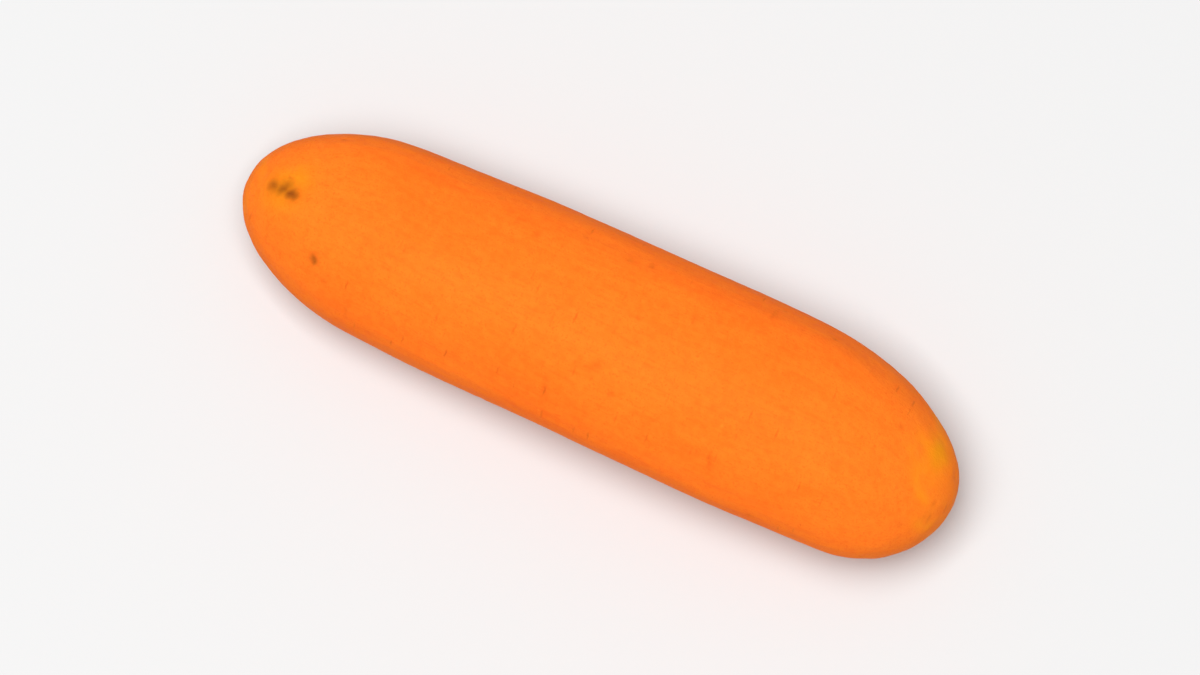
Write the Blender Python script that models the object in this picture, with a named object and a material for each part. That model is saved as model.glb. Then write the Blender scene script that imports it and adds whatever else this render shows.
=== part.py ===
"""Baby carrot: a length of slender carrot root, cut, peeled and tumbled until both ends are round.

Units are metres, +Z up. The carrot lies on its side on the plane Z = 0, with its length along X:
the thin tail end towards -X and the thick crown end towards +X. The origin is on that plane, under
the middle of the carrot's bounding box. It is one piece, so it is one object.
"""

import math

import bmesh
import bpy
from mathutils import Vector

# Overall size: the full length, then how wide (Y) and how high (Z) the body is at three places.
# The widths and heights at the two ends are those that the body would have with no rounding.
LENGTH = 0.0523
WIDEST_WIDTH = 0.0144
WIDEST_HEIGHT = 0.0140
WIDEST_FROM_CROWN = 0.0164
TAIL_WIDTH = 0.0121
TAIL_HEIGHT = 0.0118
CROWN_WIDTH = 0.0130
CROWN_HEIGHT = 0.0126

# Rounded ends: how far each elliptical rounding runs along the carrot on average, how much further it
# runs on its longer side, and where that side faces, as an angle about +X from +Y.
TAIL_ROUNDING = 0.0101
TAIL_ROUNDING_SKEW = 0.0006
TAIL_SKEW_FACING = math.radians(250)
CROWN_ROUNDING = 0.0095
CROWN_ROUNDING_SKEW = 0.0029
CROWN_SKEW_FACING = math.radians(20)

# How deep the resting side is worn flat.
REST_FLAT_DEPTH = 0.0004

# Slow waves left by peeling: height, waves around the body, turn along it (radians per metre), start.
SKIN_WAVES = (
    (0.00011, 2, 75.0, 0.6),
    (0.00009, 3, -48.0, 2.1),
    (0.00005, 5, 30.0, 4.0),
    (0.00003, 7, -22.0, 1.2),
)

# Mesh density: steps along each rounded end and along the body, and points around each ring.
ROUNDING_RINGS = 12
BODY_RINGS = 26
RING_POINTS = 48
LAST_RING = BODY_RINGS + 2 * ROUNDING_RINGS

FLESH_COLOUR = (0.80, 0.20, 0.02, 1.0)
FLESH_ROUGHNESS = 0.5


def body_half_sizes(from_tail):
    """Half the body's width and height at a distance from the tail tip, before the ends are rounded."""
    widest_from_tail = LENGTH - WIDEST_FROM_CROWN
    if from_tail < widest_from_tail:
        share = math.sin(math.pi / 2 * from_tail / widest_from_tail)
        end_width, end_height = TAIL_WIDTH, TAIL_HEIGHT
    else:
        share = math.cos(math.pi / 2 * (from_tail - widest_from_tail) / WIDEST_FROM_CROWN)
        end_width, end_height = CROWN_WIDTH, CROWN_HEIGHT
    width = end_width + (WIDEST_WIDTH - end_width) * share
    height = end_height + (WIDEST_HEIGHT - end_height) * share
    return width / 2, height / 2


def place_along(ring, angle):
    """Distance from the tail tip and share of full girth, for a ring at an angle. Ring 0 is the tip."""
    tail_rounding = TAIL_ROUNDING + TAIL_ROUNDING_SKEW * math.cos(angle - TAIL_SKEW_FACING)
    crown_rounding = CROWN_ROUNDING + CROWN_ROUNDING_SKEW * math.cos(angle - CROWN_SKEW_FACING)
    if ring <= ROUNDING_RINGS:
        turn = math.pi / 2 * ring / ROUNDING_RINGS
        return tail_rounding * (1 - math.cos(turn)), math.sin(turn)
    if ring >= ROUNDING_RINGS + BODY_RINGS:
        turn = math.pi / 2 * (LAST_RING - ring) / ROUNDING_RINGS
        return LENGTH - crown_rounding * (1 - math.cos(turn)), math.sin(turn)
    share = (ring - ROUNDING_RINGS) / BODY_RINGS
    return tail_rounding + (LENGTH - tail_rounding - crown_rounding) * share, 1.0


def skin_wave(from_tail, angle):
    """How far the peeled skin stands off the smooth body at this place."""
    return sum(
        height * math.sin(around * angle + turn * from_tail + start)
        for height, around, turn, start in SKIN_WAVES
    )


def skin_point(ring, step):
    """A point of the skin. Steps turn about +X from +Y, and the underside of the body is straight."""
    angle = 2 * math.pi * step / RING_POINTS
    from_tail, girth = place_along(ring, angle)
    half_width, half_height = body_half_sizes(from_tail)
    wave = skin_wave(from_tail, angle)
    sideways = girth * (half_width + wave) * math.cos(angle)
    upwards = girth * (half_height + wave) * math.sin(angle)
    return Vector((from_tail, sideways, half_height + upwards))


def seated(points):
    """The points moved so that the carrot's flattened side lies on Z = 0, centred on the origin."""
    floor = min(point.z for point in points) + REST_FLAT_DEPTH
    middle_x = (min(point.x for point in points) + max(point.x for point in points)) / 2
    middle_y = (min(point.y for point in points) + max(point.y for point in points)) / 2
    return [
        Vector((point.x - middle_x, point.y - middle_y, max(point.z - floor, 0.0)))
        for point in points
    ]


def carrot_mesh():
    """Rings of points from tail to crown, bridged with quads and closed by a fan at each tip."""
    points = [skin_point(0, 0)]
    for ring in range(1, LAST_RING):
        points += [skin_point(ring, step) for step in range(RING_POINTS)]
    points.append(skin_point(LAST_RING, 0))

    shape = bmesh.new()
    verts = [shape.verts.new(point) for point in seated(points)]
    tail_tip, crown_tip = verts[0], verts[-1]
    rings = [verts[first : first + RING_POINTS] for first in range(1, len(verts) - 1, RING_POINTS)]
    for step in range(RING_POINTS):
        after = (step + 1) % RING_POINTS
        shape.faces.new((tail_tip, rings[0][after], rings[0][step]))
        shape.faces.new((crown_tip, rings[-1][step], rings[-1][after]))
        for near, far in zip(rings, rings[1:]):
            shape.faces.new((near[step], near[after], far[after], far[step]))

    mesh = bpy.data.meshes.new("carrot")
    shape.to_mesh(mesh)
    shape.free()
    mesh.shade_smooth()
    return mesh


def flesh_material():
    """Peeled carrot flesh: orange and matt."""
    material = bpy.data.materials.new("carrot_flesh")
    material.use_nodes = True
    shader = material.node_tree.nodes["Principled BSDF"]
    shader.inputs["Base Color"].default_value = FLESH_COLOUR
    shader.inputs["Roughness"].default_value = FLESH_ROUGHNESS
    shader.inputs["Metallic"].default_value = 0.0
    material.diffuse_color = FLESH_COLOUR
    return material


def main():
    for leftover in list(bpy.data.objects):
        bpy.data.objects.remove(leftover)
    carrot = bpy.data.objects.new("carrot", carrot_mesh())
    carrot.data.materials.append(flesh_material())
    bpy.context.scene.collection.objects.link(carrot)


main()
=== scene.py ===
"""Looks of the baby carrot: a finely worked peeled skin, its flesh, and a plain studio around it.

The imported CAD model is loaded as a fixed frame, in metres with +Z up. The carrot lies on Z = 0 with
its thin tail end towards -X and its thick crown end towards +X. Its skin is rebuilt here as one fine
mesh that replaces the CAD solid: ridges, creases, pits, a scar and the two cut ends are real relief,
and what is finer than that is a bump in the material.
"""

import math

import bmesh
import bpy
import numpy as np
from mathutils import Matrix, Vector, noise


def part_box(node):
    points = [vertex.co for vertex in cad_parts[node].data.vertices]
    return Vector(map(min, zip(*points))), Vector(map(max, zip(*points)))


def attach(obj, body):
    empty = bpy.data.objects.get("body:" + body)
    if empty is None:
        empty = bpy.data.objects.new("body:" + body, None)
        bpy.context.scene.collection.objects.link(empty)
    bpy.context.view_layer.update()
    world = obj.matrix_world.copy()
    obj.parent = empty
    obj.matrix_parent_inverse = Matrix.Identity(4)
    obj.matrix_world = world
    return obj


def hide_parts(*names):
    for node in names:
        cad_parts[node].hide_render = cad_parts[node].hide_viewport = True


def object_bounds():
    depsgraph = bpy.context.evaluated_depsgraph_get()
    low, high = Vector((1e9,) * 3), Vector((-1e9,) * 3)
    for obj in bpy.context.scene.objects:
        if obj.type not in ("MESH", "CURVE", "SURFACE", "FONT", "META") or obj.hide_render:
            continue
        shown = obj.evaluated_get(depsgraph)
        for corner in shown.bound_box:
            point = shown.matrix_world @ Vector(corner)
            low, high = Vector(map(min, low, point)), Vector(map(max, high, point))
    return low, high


MM = 0.001

# The fine mesh: size of the first even mesh, which is then halved, and how it is smoothed.
MERGE_DISTANCE = 0.001 * MM
VOXEL = 0.35 * MM
SMOOTHING = 0.5
SMOOTHINGS = 14

# Layers of noise, as (height, feature size along X, feature size across, octaves, start). Layers with
# different starts are unlike each other, and the ragged edges use three of them, RAGGED_STEP apart.
# Each octave halves the features and their height.
LUMPS = (0.13 * MM, 10 * MM, 7 * MM, 1, 0.0)
RIDGES = (0.085 * MM, 12 * MM, 2.5 * MM, 2, 31.7)
FIBRES = (0.020 * MM, 5 * MM, 0.7 * MM, 2, 63.4)
GRAIN = (0.011 * MM, 0.6 * MM, 0.45 * MM, 2, 95.1)
RIPPLES = (0.030 * MM, 1.2 * MM, 6 * MM, 1, 77.1)
RIPPLE_PATCHES = (1.0, 9 * MM, 5 * MM, 1, 5.3)
CREASE_WOBBLE = (0.22 * MM, 1.6 * MM, 1.1 * MM, 2, 12.9)
RAGGED_EDGES = (0.20 * MM, 0.7 * MM, 0.6 * MM, 2, 10.3)
RAGGED_STEP = 10.3
CORE_WOBBLE = (0.22 * MM, 2 * MM, 1.2 * MM, 2, 44.0)
RING_GAPS = (1.0, 2.5 * MM, 1.5 * MM, 2, 61.0)
RAY_WANDER = (2.5, 1 * MM, 1 * MM, 1, 8.0)
OCTAVE_FADING = 1.0
OCTAVE_SCALING = 2.0

# Where ripples and the ring around the core come in, as a range of the noise that masks them.
RIPPLES_COME_IN = (-0.1, 0.5)
RING_COMES_IN = (-0.25, 0.45)

# Lumps and ridges fade to this share between two distances from the nearer end of the carrot.
SHARE_AT_ENDS = 0.4
ENDS_START = 9 * MM
ENDS_FULL = 1 * MM

# Rows of short creases across the carrot, left by side roots. The angle turns about +X from +Y, and
# a pair of values is a range that each crease's own value is drawn from.
CREASE_ROWS = (38, 147, 216, 322)
CREASES_IN_ROW = 6
CLEAR_OF_ENDS = 7 * MM
PLACE_IN_STEP = (0.1, 0.9)
ROW_SCATTER = (-20, 20)
CREASE_LENGTH = (0.6 * MM, 3.0 * MM)
CREASE_DEPTH = (0.02 * MM, 0.09 * MM)
CREASE_WIDTH = (0.12 * MM, 0.225 * MM)
CREASE_TILT = (-0.25, 0.25)
CREASE_DARKNESS = (0.15, 0.75)
FAINTER = 1.5
LIP_WIDTH = 2.6
LIP_HEIGHT = 0.15

# Tiny round pits anywhere on the carrot, with the same kind of ranges.
PITS = 40
PIT_SIZE = (0.15 * MM, 0.34 * MM)
PIT_DEPTH = (0.02 * MM, 0.07 * MM)
PIT_DARKNESS = (0.1, 0.6)
SEED = 7

# The scar on the tail end, placed from the tail tip along X, and across in Y. It is a shallow hollow
# with darker spots in it, given as (along, across, size, darkness), and the flesh around it is yellower.
SCAR_FROM_TIP = 2.95 * MM
SCAR_ACROSS = -0.35 * MM
SCAR_SIZE = (1.15 * MM, 0.85 * MM)
SCAR_DEPTH = 0.13 * MM
SCAR_DARKNESS = 0.85
SCAR_SPOTS = (
    (-0.70 * MM, 0.05 * MM, 0.58 * MM, 0.80),
    (0.70 * MM, -0.10 * MM, 0.58 * MM, 1.00),
    (0.00 * MM, 0.10 * MM, 0.52 * MM, 0.72),
    (0.20 * MM, 0.75 * MM, 0.28 * MM, 0.40),
)
SPOT_NARROWING = 0.85
SPOT_DEPTH = 0.4 * SCAR_DEPTH
SCAR_TINT = 0.75
SCAR_TINT_SIZE = (1.61 * MM, 1.275 * MM)
BESIDE_SCAR = (0.7 * MM, 0.8 * MM)
BESIDE_TINT = 0.55
BESIDE_TINT_SIZE = (1.2 * MM, 1.1 * MM)

# The dot near the scar, placed in the same way.
DOT_FROM_TIP = 7.0 * MM
DOT_ACROSS = -3.95 * MM
DOT_SIZE = (0.36 * MM, 0.36 * MM)
DOT_DARKNESS = 0.85

# The yellow patch on the upper side of the crown end, placed from the crown tip.
PATCH_FROM_TIP = 2.3 * MM
PATCH_ACROSS = 1.9 * MM
PATCH_SIZE = (0.95 * MM, 1.55 * MM)
PATCH_TINT = 0.85

# The root's core, where the two ends cut through it: its radius at each end and, for the crown, where
# its middle is across the carrot. Its outline has lobes, as (height in radii, count, start).
CROWN_CORE = 3.9 * MM
CROWN_CORE_ACROSS = 0.7 * MM
CROWN_DIMPLE = 0.09 * MM
TAIL_CORE = 2.3 * MM
CORE_LOBES = ((0.05, 3, 0.8), (0.035, 5, 0.0))
CORE_EDGE = 0.9 * MM
CORE_FADES_OUT = 1.6
CORE_FADES_IN = 0.9
DIMPLE_SHARE = 0.4

# The ring around the core, which is faint in places, and the fine rays that cross it.
CORE_RING_WIDTH = 0.60 * MM
CORE_RING_DEPTH = 0.03 * MM
FAINTEST_RING = 0.25
CORE_RAYS = 11
RAY_HEIGHT = 0.012 * MM
RAY_MIDDLE = 0.9
RAY_SPREAD = 0.12
RAY_SHADE = 0.25

# How strong the core and its ring are in the colour mask, at the crown and at the tail.
CROWN_CORE_STRENGTH = 0.5
TAIL_CORE_STRENGTH = 0.4
TAIL_RING_STRENGTH = 0.6
RING_TINT = 0.2

# Colours of the flesh, linear. FLESH_PALE also colours the painted glints.
FLESH = (0.91, 0.160, 0.012)
FLESH_DEEP = (0.85, 0.117, 0.009)
FLESH_PALE = (0.94, 0.203, 0.017)
CORE_COLOUR = (0.95, 0.232, 0.013)
CREASE_COLOUR = (0.52, 0.080, 0.007)
SCAR_COLOUR = (0.26, 0.060, 0.006)
TINT_COLOUR = (0.79, 0.272, 0.005)

# Patterns in the flesh, as (feature size along X, feature size across, detail, roughness, distortion).
PATCHES = (6 * MM, 4 * MM, 3, 0.5, 0.4)
STREAKS = (8 * MM, 1.0 * MM, 4, 0.6, 0.3)
HAIRS = (2.5 * MM, 0.20 * MM, 3, 0.6, 0.2)
MOTTLE = (0.6 * MM, 0.6 * MM, 3, 0.6, 0.0)
SPECKS = (0.15 * MM, 0.15 * MM, 2, 0.5, 0.0)
BUMPY_DIMPLES = (0.55 * MM, 0.45 * MM, 2, 0.55, 0.0)
BUMPY_FIBRES = (2.0 * MM, 0.24 * MM, 3, 0.55, 0.0)
BUMPY_GRAIN = (0.14 * MM, 0.11 * MM, 3, 0.6, 0.0)

# Separate brown lines and painted glints, one to a cell, as (cell size along X, cell size across, share
# of the cells that have one, reach in cells). They waver by WAVER_REACH, in waves of WAVER_SIZE.
BROWN_LINES = (0.34 * MM, 1.9 * MM, 0.16, 0.30)
# The pale dots are painted glints: tiny specks of highlight painted into the flesh colour.
PAINTED_GLINTS = (1.3 * MM, 1.1 * MM, 0.30, 0.13)
FULL_SHARE_OF_REACH = 0.3
WAVER_SIZE = 0.3 * MM
WAVER_REACH = 0.16 * MM

# How the flesh takes the light.
SMOOTHEST = 0.48
ROUGHEST = 0.62
SPECULAR_LEVEL = 0.012
SUBSURFACE = 0.15
SUBSURFACE_RADIUS = (1.0, 0.42, 0.12)
SUBSURFACE_SCALE = 0.6 * MM

# The floor.
FLOOR_RADIUS = 4.0
FLOOR_SEGMENTS = 96
FLOOR_COLOUR = (0.63, 0.63, 0.63, 1)
FLOOR_ROUGHNESS = 0.9
FLOOR_SPECULAR = 0.1

# The camera: where it looks from, in degrees, its distance, and the width that it takes in at the
# carrot. The sensor's width is in millimetres.
AZIMUTH = 25
ELEVATION = 78
CAMERA_DISTANCE = 0.57
VIEW_WIDTH = 0.080
SENSOR_WIDTH = 36

# The light overhead, placed to the right in the view, up in the view and above the floor.
LIGHT_RIGHT = -0.12
LIGHT_UP = -0.12
LIGHT_HEIGHT = 1.10
LIGHT_SIZE = 0.65
LIGHT_POWER = 15.4
SURROUND_STRENGTH = 0.33


def smooth_step(low, high, values):
    """0 below low, 1 above high, and a smooth rise between them. It falls if low is above high."""
    share = np.clip((values - low) / (high - low), 0, 1)
    return share * share * (3 - 2 * share)


def bell(values):
    """1 at zero, falling smoothly to 0 on both sides."""
    return np.exp(-(values**2))


def uneven(points, layer, later=0.0):
    """One of the layers of smooth noise, at each point, with its start moved on if later is given."""
    height, along, across, octaves, start = layer
    places = points / np.array([along, across, across]) + start + later
    values = [noise.fractal(Vector(p), OCTAVE_FADING, OCTAVE_SCALING, octaves) for p in places]
    return height * np.array(values)


# ---------------------------------------------------------------- the fine mesh


def even_skin(cad_node):
    """A smooth, even and fine mesh of the CAD node's shape, as a new object."""
    mesh = cad_node.data.copy()
    shape = bmesh.new()
    shape.from_mesh(mesh)
    bmesh.ops.remove_doubles(shape, verts=shape.verts, dist=MERGE_DISTANCE)
    shape.to_mesh(mesh)
    shape.free()
    piece = bpy.data.objects.new("peeled_carrot", mesh)
    bpy.context.scene.collection.objects.link(piece)

    remesh = piece.modifiers.new("even", "REMESH")
    remesh.mode = "VOXEL"
    remesh.voxel_size = VOXEL
    smooth = piece.modifiers.new("smooth", "SMOOTH")
    smooth.factor = SMOOTHING
    smooth.iterations = SMOOTHINGS
    finer = piece.modifiers.new("finer", "SUBSURF")
    finer.levels = 1
    finer.render_levels = 1

    bpy.context.view_layer.update()
    graph = bpy.context.evaluated_depsgraph_get()
    piece.data = bpy.data.meshes.new_from_object(piece.evaluated_get(graph))
    piece.modifiers.clear()
    return piece


def read_points(mesh):
    """The mesh's points and their outward normals, as two arrays."""
    points = np.empty(len(mesh.vertices) * 3, np.float32)
    mesh.vertices.foreach_get("co", points)
    normals = np.empty(len(mesh.vertices) * 3, np.float32)
    mesh.vertex_normals.foreach_get("vector", normals)
    return points.reshape(-1, 3).astype(float), normals.reshape(-1, 3).astype(float)


def write_points(mesh, points):
    """Puts the points back, with none of them under the floor."""
    points[:, 2] = np.maximum(points[:, 2], 0.0)
    mesh.vertices.foreach_set("co", points.astype(np.float32).ravel())
    mesh.update()


def write_mask(mesh, name, values):
    """Stores a value from 0 to 1 at each point, for the material to read."""
    layer = mesh.attributes.new(name, "FLOAT", "POINT")
    layer.data.foreach_set("value", np.clip(values, 0, 1).astype(np.float32))


# ---------------------------------------------------------------- relief


def broad_relief(points):
    """The uneven peeled surface: lumps, lengthwise ridges and fibres, grain, and ripples in patches."""
    low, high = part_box("carrot")
    from_ends = np.minimum(points[:, 0] - low.x, high.x - points[:, 0])
    body = SHARE_AT_ENDS + (1 - SHARE_AT_ENDS) * smooth_step(ENDS_FULL, ENDS_START, from_ends)
    relief = body * (uneven(points, LUMPS) + uneven(points, RIDGES))
    relief += uneven(points, FIBRES) + uneven(points, GRAIN)
    patches = smooth_step(*RIPPLES_COME_IN, uneven(points, RIPPLE_PATCHES))
    return relief + patches * uneven(points, RIPPLES)


def around(points):
    """Angle of each point about the carrot's axis, and its distance from it."""
    low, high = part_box("carrot")
    middle = (low + high) / 2
    sideways = points[:, 1] - middle.y
    upwards = points[:, 2] - middle.z
    return np.arctan2(upwards, sideways), np.hypot(sideways, upwards)


def creases(points, random):
    """Depth and colour mask of the short creases that side roots left, in rows along the carrot."""
    low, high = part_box("carrot")
    angles, radii = around(points)
    wobble = uneven(points, CREASE_WOBBLE)
    depth = np.zeros(len(points))
    mask = np.zeros(len(points))
    usable = high.x - low.x - 2 * CLEAR_OF_ENDS
    for row in CREASE_ROWS:
        for place in range(CREASES_IN_ROW):
            share = (place + random.uniform(*PLACE_IN_STEP)) / CREASES_IN_ROW
            centre_x = low.x + CLEAR_OF_ENDS + usable * share
            centre_angle = math.radians(row + random.uniform(*ROW_SCATTER))
            half_length = random.uniform(*CREASE_LENGTH) / 2
            deepest = random.uniform(*CREASE_DEPTH)
            width = random.uniform(*CREASE_WIDTH)
            tilt = random.uniform(*CREASE_TILT)
            darkness = random.uniform(*CREASE_DARKNESS) ** FAINTER
            turn = (angles - centre_angle + math.pi) % (2 * math.pi) - math.pi
            across = turn * radii
            along = points[:, 0] - centre_x - tilt * across + wobble
            reach = np.clip(1 - (across / half_length) ** 2, 0, 1)
            line = bell(along / width) * reach
            lips = bell(along / (LIP_WIDTH * width)) * reach
            depth += deepest * (LIP_HEIGHT * lips - (1 + LIP_HEIGHT) * line)
            mask = np.maximum(mask, line * darkness)
    return depth, mask


def blob(points, centre, size):
    """1 at a centre, falling smoothly to 0 over a size, which is a pair: along X and across it."""
    along, across = size
    offset = (points - centre) / np.array([along, across, across])
    return np.exp(-np.sum(offset**2, axis=1))


def pits(points, random):
    """Depth and colour mask of the tiny pits."""
    depth = np.zeros(len(points))
    mask = np.zeros(len(points))
    for _ in range(PITS):
        centre = points[random.integers(len(points))]
        size = random.uniform(*PIT_SIZE)
        near = blob(points, centre, (size, size))
        depth -= random.uniform(*PIT_DEPTH) * near
        mask = np.maximum(mask, near * random.uniform(*PIT_DARKNESS))
    return depth, mask


def top_point(points, x, y):
    """The point of the upper skin above a place."""
    upper = points[points[:, 2] > points[:, 2].mean()]
    return upper[np.hypot(upper[:, 0] - x, upper[:, 1] - y).argmin()]


def scar(points, ragged):
    """Depth, dark mask and yellow tint mask of the scar on the tail end."""
    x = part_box("carrot")[0].x + SCAR_FROM_TIP
    y = SCAR_ACROSS
    centre = top_point(points, x, y)
    hollow = blob(ragged, centre, SCAR_SIZE)
    depth = -SCAR_DEPTH * hollow
    dark = SCAR_DARKNESS * hollow**2
    for along, across, size, darkness in SCAR_SPOTS:
        spot = blob(ragged, top_point(points, x + along, y + across), (size, SPOT_NARROWING * size))
        depth -= SPOT_DEPTH * spot
        dark = np.maximum(dark, darkness * spot)
    beside = top_point(points, x + BESIDE_SCAR[0], y + BESIDE_SCAR[1])
    tint = np.maximum(
        SCAR_TINT * blob(ragged, centre, SCAR_TINT_SIZE),
        BESIDE_TINT * blob(ragged, beside, BESIDE_TINT_SIZE),
    )
    return depth, dark, tint


def marks(points):
    """Depth, dark mask and yellow tint mask of the scar, the dot near it and the patch on the crown."""
    low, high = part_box("carrot")
    ragged = points.copy()
    for axis in range(3):
        ragged[:, axis] += uneven(points, RAGGED_EDGES, later=RAGGED_STEP * axis)

    depth, dark, tint = scar(points, ragged)
    dot = blob(ragged, top_point(points, low.x + DOT_FROM_TIP, DOT_ACROSS), DOT_SIZE)
    patch = blob(ragged, top_point(points, high.x - PATCH_FROM_TIP, PATCH_ACROSS), PATCH_SIZE)
    depth -= SPOT_DEPTH * dot
    return depth, np.maximum(dark, DOT_DARKNESS * dot), np.maximum(tint, PATCH_TINT * patch)


def cut_end(points, tip, side, radius, dimple):
    """Depth, core mask and ring mask of a rounded cut end. side is -1 at the tail and 1 at the crown."""
    sideways = points[:, 1] - tip[1]
    upwards = points[:, 2] - tip[2]
    angles = np.arctan2(upwards, sideways)
    from_axis = np.hypot(sideways, upwards)
    from_tip = side * (tip[0] - points[:, 0])
    at_end = smooth_step(CORE_FADES_OUT * radius, CORE_FADES_IN * radius, from_tip)

    lobes = sum(height * np.cos(count * angles + start) for height, count, start in CORE_LOBES)
    outline = radius * (1 + lobes) + uneven(points, CORE_WOBBLE)
    core = smooth_step(outline + CORE_EDGE, outline - CORE_EDGE, from_axis) * at_end
    strong = smooth_step(*RING_COMES_IN, uneven(points, RING_GAPS))
    ring = bell((from_axis - outline) / CORE_RING_WIDTH) * at_end
    ring *= FAINTEST_RING + (1 - FAINTEST_RING) * strong
    rays = np.cos(CORE_RAYS * angles + uneven(points, RAY_WANDER))
    rays *= np.exp(-((from_axis / radius - RAY_MIDDLE) ** 2) / RAY_SPREAD) * at_end

    depth = RAY_HEIGHT * rays - CORE_RING_DEPTH * ring
    depth -= dimple * bell(from_axis / (DIMPLE_SHARE * radius)) * at_end
    return depth, core * (1 - RAY_SHADE + RAY_SHADE * rays), ring


def work_skin(piece):
    """Presses all the relief into the fine mesh, and stores the masks that the material reads."""
    mesh = piece.data
    points, normals = read_points(mesh)
    random = np.random.default_rng(SEED)
    crease_depth, crease_mask = creases(points, random)
    pit_depth, pit_mask = pits(points, random)
    mark_depth, dark_mask, tint_mask = marks(points)
    tail_tip = points[points[:, 0].argmin()]
    crown_middle = (points[:, 0].max(), CROWN_CORE_ACROSS, points[:, 2].mean())
    tail_depth, tail_core, tail_ring = cut_end(points, tail_tip, -1, TAIL_CORE, 0.0)
    crown_depth, crown_core, crown_ring = cut_end(points, crown_middle, 1, CROWN_CORE, CROWN_DIMPLE)

    relief = broad_relief(points) + crease_depth + pit_depth + mark_depth + tail_depth + crown_depth
    write_points(mesh, points + normals * relief[:, None])
    cores = np.maximum(TAIL_CORE_STRENGTH * tail_core, CROWN_CORE_STRENGTH * crown_core)
    rings = np.maximum(TAIL_RING_STRENGTH * tail_ring, crown_ring)
    write_mask(mesh, "crease", np.maximum(crease_mask, pit_mask))
    write_mask(mesh, "scar", dark_mask)
    write_mask(mesh, "core", np.maximum(cores, rings))
    write_mask(mesh, "tint", np.maximum(tint_mask, RING_TINT * rings))
    mesh.shade_smooth()


# ---------------------------------------------------------------- the flesh


class Nodes:
    """Short calls for building one material's node tree."""

    def __init__(self, material):
        material.use_nodes = True
        self.tree = material.node_tree
        self.shader = self.tree.nodes["Principled BSDF"]

    def node(self, kind, **inputs):
        """A new node, with named sockets set to a value or linked to another node's socket."""
        made = self.tree.nodes.new(kind)
        for name, value in inputs.items():
            self.put(made.inputs[name.replace("_", " ")], value)
        return made

    def put(self, socket, value):
        """Sets a socket, or links it when the value is another socket."""
        if isinstance(value, bpy.types.NodeSocket):
            self.tree.links.new(value, socket)
        else:
            socket.default_value = value

    def place(self):
        """The place on the object, in metres."""
        return self.tree.nodes.new("ShaderNodeTexCoord").outputs["Object"]

    def scaled(self, place, along, across):
        """A place counted in the given lengths along X and across it."""
        scale = (1 / along, 1 / across, 1 / across)
        return self.node("ShaderNodeMapping", Vector=place, Scale=scale).outputs["Vector"]

    def pattern(self, along, across, detail, roughness, distortion):
        """Noise whose features have the given sizes along X and across it."""
        made = self.node(
            "ShaderNodeTexNoise",
            Vector=self.scaled(self.place(), along, across),
            Scale=1.0,
            Detail=detail,
            Roughness=roughness,
            Distortion=distortion,
        )
        return made.outputs["Fac"]

    def flecks(self, along, across, share, reach):
        """Separate marks with soft edges, one in some of the cells, each as strong as chance has it."""
        place = self.place()
        waver = self.node("ShaderNodeTexNoise", Vector=place, Scale=1 / WAVER_SIZE, Detail=1.0)
        moved = self.tree.nodes.new("ShaderNodeVectorMath")
        moved.operation = "MULTIPLY_ADD"
        for socket, value in zip(moved.inputs, (waver.outputs["Color"], [WAVER_REACH] * 3, place)):
            self.put(socket, value)
        cells = self.node(
            "ShaderNodeTexVoronoi",
            Vector=self.scaled(moved.outputs["Vector"], along, across),
            Scale=1.0,
        )
        near = self.spread(cells.outputs["Distance"], reach, FULL_SHARE_OF_REACH * reach)
        chance = self.node("ShaderNodeSeparateColor", Color=cells.outputs["Color"]).outputs["Red"]
        return self.times(near, self.spread(chance, 1 - share, 1.0))

    def along(self):
        """Distance along X."""
        return self.node("ShaderNodeSeparateXYZ", Vector=self.place()).outputs["X"]

    def spread(self, value, low, high, to_low=0.0, to_high=1.0):
        """The value's range low to high, mapped to another range and held inside it."""
        made = self.node(
            "ShaderNodeMapRange",
            Value=value,
            From_Min=low,
            From_Max=high,
            To_Min=to_low,
            To_Max=to_high,
        )
        return made.outputs["Result"]

    def mask(self, name):
        """A mask that work_skin stored on the mesh."""
        made = self.tree.nodes.new("ShaderNodeAttribute")
        made.attribute_name = name
        return made.outputs["Fac"]

    def times(self, first, second):
        """The product of two values."""
        made = self.tree.nodes.new("ShaderNodeMath")
        made.operation = "MULTIPLY"
        self.put(made.inputs[0], first)
        self.put(made.inputs[1], second)
        return made.outputs["Value"]

    def blend(self, share, under, over):
        """Two colours mixed by a share."""
        made = self.tree.nodes.new("ShaderNodeMix")
        made.data_type = "RGBA"
        self.put(made.inputs["Factor"], share)
        for socket, colour in ((made.inputs[6], under), (made.inputs[7], over)):
            self.put(socket, (*colour, 1.0) if isinstance(colour, tuple) else colour)
        return made.outputs[2]

    def bump(self, height, depth, strength, under):
        """A bump of that depth in metres, on top of another bump if there is one."""
        made = self.node("ShaderNodeBump", Height=height, Distance=depth, Strength=strength)
        if under is not None:
            self.put(made.inputs["Normal"], under)
        return made.outputs["Normal"]


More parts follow.
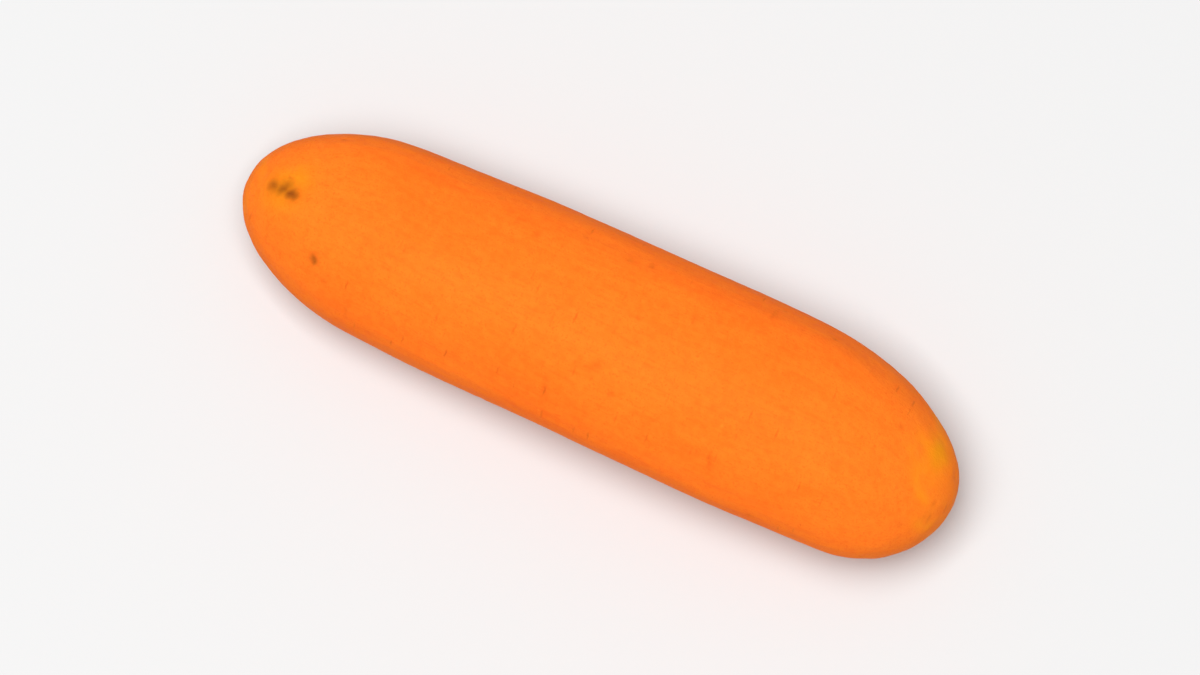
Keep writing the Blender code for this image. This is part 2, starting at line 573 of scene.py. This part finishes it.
def flesh_colour(nodes, mottle, lines):
    """The colour of the flesh: layers on a base, each faded in by a pattern, a place or a mask.

    A layer is (value, value where it starts, value where it is full, strength there, colour).
    """
    layers = (
        (nodes.pattern(*PATCHES), 0.35, 0.65, 0.45, FLESH_PALE),
        (nodes.along(), -15 * MM, -26 * MM, 0.55, FLESH_PALE),
        (nodes.along(), 15 * MM, 25 * MM, 0.60, FLESH_PALE),
        (nodes.pattern(*STREAKS), 0.48, 0.72, 0.30, FLESH_DEEP),
        (nodes.pattern(*HAIRS), 0.50, 0.70, 0.35, FLESH_DEEP),
        (mottle, 0.42, 0.68, 0.40, FLESH_PALE),
        (mottle, 0.46, 0.26, 0.25, FLESH_DEEP),
        (nodes.pattern(*SPECKS), 0.54, 0.70, 0.60, FLESH_DEEP),
        (nodes.mask("core"), 0.0, 1.0, 0.85, CORE_COLOUR),
        (nodes.mask("tint"), 0.0, 1.0, 1.00, TINT_COLOUR),
        # Painted glints: tiny pale specks of highlight laid into the colour.
        (nodes.flecks(*PAINTED_GLINTS), 0.0, 1.0, 0.80, FLESH_PALE),
        (lines, 0.0, 1.0, 0.55, CREASE_COLOUR),
        (nodes.mask("crease"), 0.0, 1.0, 0.70, CREASE_COLOUR),
        (nodes.mask("scar"), 0.0, 1.0, 1.00, SCAR_COLOUR),
    )
    colour = FLESH
    for value, start, full, strength, over in layers:
        colour = nodes.blend(nodes.spread(value, start, full, 0.0, strength), colour, over)
    return colour


def flesh_bumps(nodes, lines):
    """The normal of the flesh: bumps on each other, as (height, depth in metres, strength)."""
    bumps = (
        (nodes.pattern(*BUMPY_DIMPLES), 0.05 * MM, 0.6),
        (nodes.pattern(*BUMPY_FIBRES), 0.025 * MM, 0.6),
        (nodes.pattern(*BUMPY_GRAIN), 0.03 * MM, 0.7),
        (nodes.spread(lines, 0.0, 1.0, 1.0, 0.0), 0.03 * MM, 0.7),
    )
    normal = None
    for height, depth, strength in bumps:
        normal = nodes.bump(height, depth, strength, normal)
    return normal


def flesh_material():
    """Peeled carrot flesh: saturated orange with lengthwise streaks, nearly matt and finely rough."""
    material = bpy.data.materials.new("carrot_flesh")
    nodes = Nodes(material)
    mottle = nodes.pattern(*MOTTLE)
    lines = nodes.flecks(*BROWN_LINES)
    looks = {
        "Base Color": flesh_colour(nodes, mottle, lines),
        "Roughness": nodes.spread(mottle, 0.3, 0.7, SMOOTHEST, ROUGHEST),
        "Normal": flesh_bumps(nodes, lines),
        "Specular IOR Level": SPECULAR_LEVEL,
        "Subsurface Weight": SUBSURFACE,
        "Subsurface Radius": SUBSURFACE_RADIUS,
        "Subsurface Scale": SUBSURFACE_SCALE,
    }
    for name, value in looks.items():
        nodes.put(nodes.shader.inputs[name], value)
    return material


# ---------------------------------------------------------------- the studio


def floor_material():
    """A plain, pale and matt grey."""
    material = bpy.data.materials.new("floor_white")
    material.use_nodes = True
    shader = material.node_tree.nodes["Principled BSDF"]
    shader.inputs["Base Color"].default_value = FLOOR_COLOUR
    shader.inputs["Roughness"].default_value = FLOOR_ROUGHNESS
    shader.inputs["Specular IOR Level"].default_value = FLOOR_SPECULAR
    return material


def lay_floor():
    """A pale floor under the carrot."""
    mesh = bpy.data.meshes.new("floor")
    shape = bmesh.new()
    bmesh.ops.create_circle(shape, cap_ends=True, segments=FLOOR_SEGMENTS, radius=FLOOR_RADIUS)
    shape.to_mesh(mesh)
    shape.free()
    floor = bpy.data.objects.new("floor", mesh)
    bpy.context.scene.collection.objects.link(floor)
    floor.data.materials.append(floor_material())


def hang_light(target):
    """One large soft light overhead, a little towards the lower left of the view."""
    turn = math.radians(AZIMUTH)
    screen_right = Vector((math.cos(turn), math.sin(turn), 0))
    screen_up = Vector((-math.sin(turn), math.cos(turn), 0))
    data = bpy.data.lights.new("overhead", "AREA")
    data.shape = "SQUARE"
    data.size = LIGHT_SIZE
    data.energy = LIGHT_POWER
    light = bpy.data.objects.new("overhead", data)
    light.location = screen_right * LIGHT_RIGHT + screen_up * LIGHT_UP + Vector((0, 0, LIGHT_HEIGHT))
    light.rotation_euler = (light.location - target).to_track_quat("Z", "Y").to_euler()
    bpy.context.scene.collection.objects.link(light)


def light_surround():
    """An even white surround."""
    world = bpy.data.worlds.new("surround")
    world.use_nodes = True
    background = world.node_tree.nodes["Background"]
    background.inputs["Color"].default_value = (1, 1, 1, 1)
    background.inputs["Strength"].default_value = SURROUND_STRENGTH
    bpy.context.scene.world = world


def place_camera(target):
    """The camera looks steeply down on the carrot, which runs down to the right in its view."""
    turn = math.radians(AZIMUTH)
    tilt = math.radians(ELEVATION)
    back = Vector((math.sin(turn) * math.cos(tilt), -math.cos(turn) * math.cos(tilt), math.sin(tilt)))
    data = bpy.data.cameras.new("camera")
    data.sensor_width = SENSOR_WIDTH
    data.lens = SENSOR_WIDTH * CAMERA_DISTANCE / VIEW_WIDTH
    camera = bpy.data.objects.new("camera", data)
    camera.location = target + back * CAMERA_DISTANCE
    camera.rotation_euler = back.to_track_quat("Z", "Y").to_euler()
    bpy.context.scene.collection.objects.link(camera)
    bpy.context.scene.camera = camera


# ---------------------------------------------------------------- the scene

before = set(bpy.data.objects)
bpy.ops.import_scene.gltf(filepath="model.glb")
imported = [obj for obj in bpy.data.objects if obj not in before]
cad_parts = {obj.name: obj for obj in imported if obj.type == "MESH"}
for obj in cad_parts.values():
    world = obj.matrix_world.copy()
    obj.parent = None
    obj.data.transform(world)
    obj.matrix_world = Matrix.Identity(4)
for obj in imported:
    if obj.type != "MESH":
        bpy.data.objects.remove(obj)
cad_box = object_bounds()

carrot = even_skin(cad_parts["carrot"])
work_skin(carrot)
carrot.data.materials.clear()
carrot.data.materials.append(flesh_material())
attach(carrot, "root")
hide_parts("carrot")

centre = (cad_box[0] + cad_box[1]) / 2
lay_floor()
hang_light(centre)
light_surround()
place_camera(centre)
bpy.context.scene.view_settings.view_transform = "Standard"
